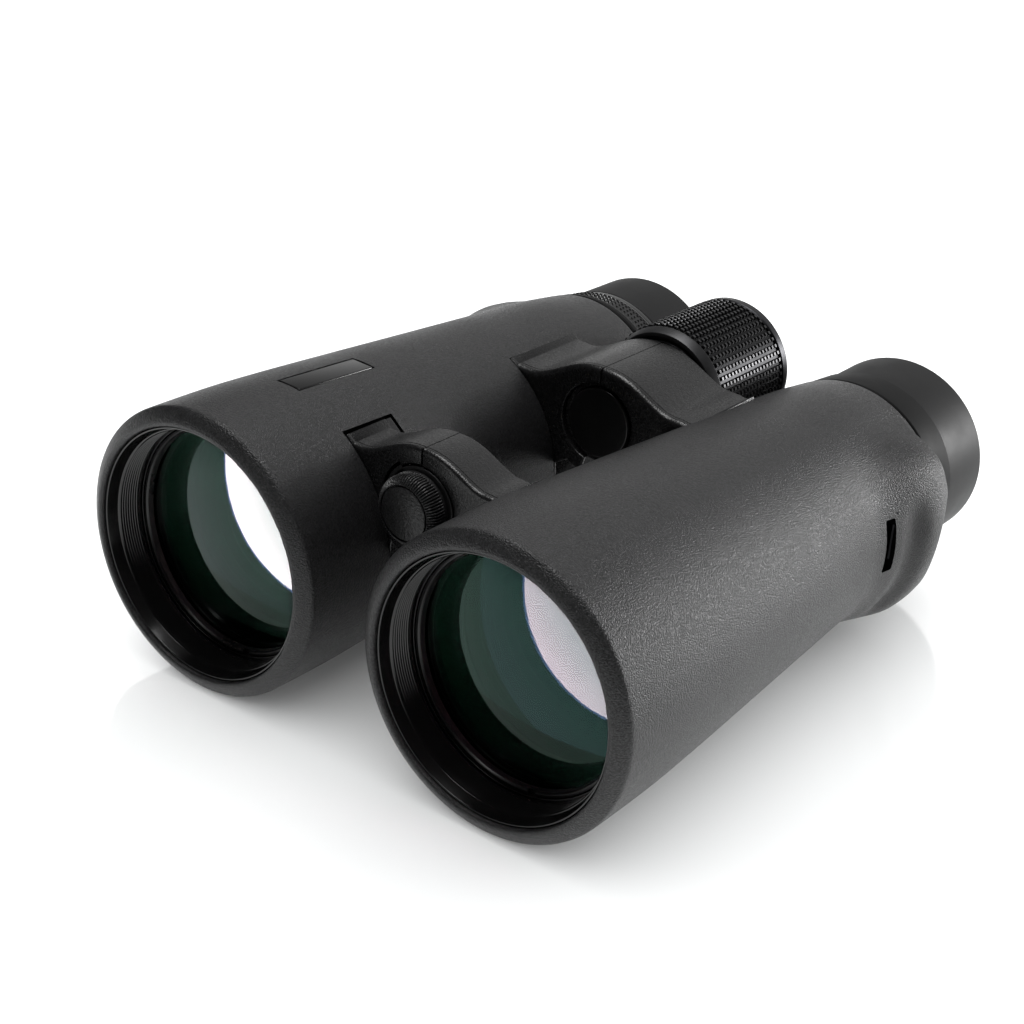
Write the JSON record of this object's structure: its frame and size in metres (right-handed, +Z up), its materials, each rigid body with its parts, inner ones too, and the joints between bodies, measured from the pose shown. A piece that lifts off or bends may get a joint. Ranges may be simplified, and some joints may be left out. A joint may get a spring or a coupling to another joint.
{
  "type": "binoculars",
  "caption": "Roof-prism binoculars with two tapered rubber-armoured barrels on an open double-bridge hinge, a central focus wheel, a diopter ring and twist-up eyecups.",
  "frame": {"origin": "bottom centre of the bounding box, with the optical axes level", "axes": "+Y along the optical axes from the objectives to the eyepieces, +Z up, +X from the diopter side to the other barrel"},
  "size_m": [0.1196, 0.1392, 0.0549],
  "materials": {
    "armour_rubber": "fine pebble grain, matt",
    "satin_plastic": "satin black",
    "gloss_plastic": "semi-gloss black",
    "black_anodised": "black anodised, satin",
    "steel": "ground",
    "brass": "turned",
    "lens_glass": "polished, green anti-reflection coating",
    "prism_glass": "polished"
  },
  "bodies": {
    "left_half": {"armour_left": "armour_rubber", "strap_pin_left": "steel", "housing_left": "satin_plastic", "bezel_left": "gloss_plastic", "objective_cell_left": "black_anodised", "retaining_ring_left": "black_anodised", "objective_lens_left": "lens_glass", "baffle_left": "satin_plastic", "prism_cage_left": "black_anodised", "helper_prism_left": "prism_glass", "roof_prism_left": "prism_glass", "eyepiece_sleeve_left": "black_anodised", "base_ring_left": "satin_plastic", "front_arm_left": "armour_rubber", "rear_arm_left": "armour_rubber", "front_axle": "steel", "rear_axle": "steel", "rear_hub_cover": "satin_plastic", "name_plate": "black_anodised"},
    "right_half": {"armour_right": "armour_rubber", "strap_pin_right": "steel", "housing_right": "satin_plastic", "bezel_right": "gloss_plastic", "objective_cell_right": "black_anodised", "retaining_ring_right": "black_anodised", "objective_lens_right": "lens_glass", "baffle_right": "satin_plastic", "prism_cage_right": "black_anodised", "helper_prism_right": "prism_glass", "roof_prism_right": "prism_glass", "eyepiece_sleeve_right": "black_anodised", "ocular_tube_right": "black_anodised", "field_lens_right": "lens_glass", "eye_lens_right": "lens_glass", "base_ring_right": "satin_plastic", "front_arm_right": "armour_rubber", "rear_arm_right": "armour_rubber", "front_bush": "brass", "rear_bush": "brass"},
    "focus_knob": {"focus_wheel": "satin_plastic", "focus_grip": "armour_rubber", "focus_end_cap": "gloss_plastic", "focus_spindle": "steel"},
    "focus_carriage": {"focus_carriage": "brass"},
    "focus_group_left": {"focus_cell_left": "black_anodised", "focus_lens_left": "lens_glass"},
    "focus_group_right": {"focus_cell_right": "black_anodised", "focus_lens_right": "lens_glass"},
    "diopter": {"diopter_ring": "satin_plastic"},
    "ocular_left": {"ocular_tube_left": "black_anodised", "field_lens_left": "lens_glass", "eye_lens_left": "lens_glass"},
    "cup_carrier_left": {"eyecup_carrier_left": "black_anodised"},
    "cup_left": {"eyecup_left": "armour_rubber", "eyecup_core_left": "black_anodised"},
    "cup_carrier_right": {"eyecup_carrier_right": "black_anodised"},
    "cup_right": {"eyecup_right": "armour_rubber", "eyecup_core_right": "black_anodised"},
    "cap_seal": {"cap_seal": "armour_rubber"},
    "cap": {"tripod_cap": "satin_plastic"}
  },
  "joints": [
    {"name": "eye_spacing_hinge", "type": "hinge", "parent": "left_half", "child": "right_half", "pos_m": [0, 0, 0.04105], "axis": [0, 1, 0], "range_deg": [0, 27]},
    {"name": "focus_turn", "type": "hinge", "parent": "left_half", "child": "focus_knob", "pos_m": [0, 0, 0.04105], "axis": [0, 1, 0], "range_deg": [-220, 220]},
    {"name": "focus_carriage_slide", "type": "slide", "parent": "left_half", "child": "focus_carriage", "axis": [0, 1, 0], "range_m": [-0.00199, 0.00199]},
    {"name": "focus_slide_left", "type": "slide", "parent": "left_half", "child": "focus_group_left", "axis": [0, 1, 0], "range_m": [-0.0023, 0.0023]},
    {"name": "focus_slide_right", "type": "slide", "parent": "right_half", "child": "focus_group_right", "axis": [0, 1, 0], "range_m": [-0.0023, 0.0023]},
    {"name": "diopter_turn", "type": "hinge", "parent": "left_half", "child": "diopter", "pos_m": [-0.0328, 0, 0.02705], "axis": [0, 1, 0], "range_deg": [-50, 50]},
    {"name": "diopter_slide", "type": "slide", "parent": "left_half", "child": "ocular_left", "axis": [0, 1, 0], "range_m": [-0.00109, 0.00109]},
    {"name": "eyecup_rise_left", "type": "slide", "parent": "left_half", "child": "cup_carrier_left", "axis": [0, 1, 0], "range_m": [0, 0.00806]},
    {"name": "eyecup_twist_left", "type": "hinge", "parent": "cup_carrier_left", "child": "cup_left", "pos_m": [-0.0328, 0, 0.02705], "axis": [0, 1, 0], "range_deg": [0, 210]},
    {"name": "eyecup_rise_right", "type": "slide", "parent": "right_half", "child": "cup_carrier_right", "axis": [0, 1, 0], "range_m": [0, 0.00806]},
    {"name": "eyecup_twist_right", "type": "hinge", "parent": "cup_carrier_right", "child": "cup_right", "pos_m": [0.0328, 0, 0.02705], "axis": [0, 1, 0], "range_deg": [0, 210]},
    {"name": "cap_travel", "type": "slide", "parent": "left_half", "child": "cap_seal", "axis": [0, -1, 0], "range_m": [0, 0.0076]},
    {"name": "cap_unscrew", "type": "hinge", "parent": "cap_seal", "child": "cap", "pos_m": [0, 0, 0.04105], "axis": [0, -1, 0], "range_deg": [0, 2160]}
  ],
  "couplings": [
    {"joint": "focus_turn", "follows": "focus_carriage_slide", "rad_per_m": -1923},
    {"joint": "focus_slide_left", "follows": "focus_carriage_slide", "ratio": 1.15},
    {"joint": "focus_slide_right", "follows": "focus_carriage_slide", "ratio": 1.15},
    {"joint": "diopter_turn", "follows": "diopter_slide", "rad_per_m": 800},
    {"joint": "eyecup_twist_left", "follows": "eyecup_rise_left", "rad_per_m": 454.5},
    {"joint": "eyecup_twist_right", "follows": "eyecup_rise_right", "rad_per_m": 454.5},
    {"joint": "cap_unscrew", "follows": "cap_travel", "rad_per_m": 4950}
  ]
}
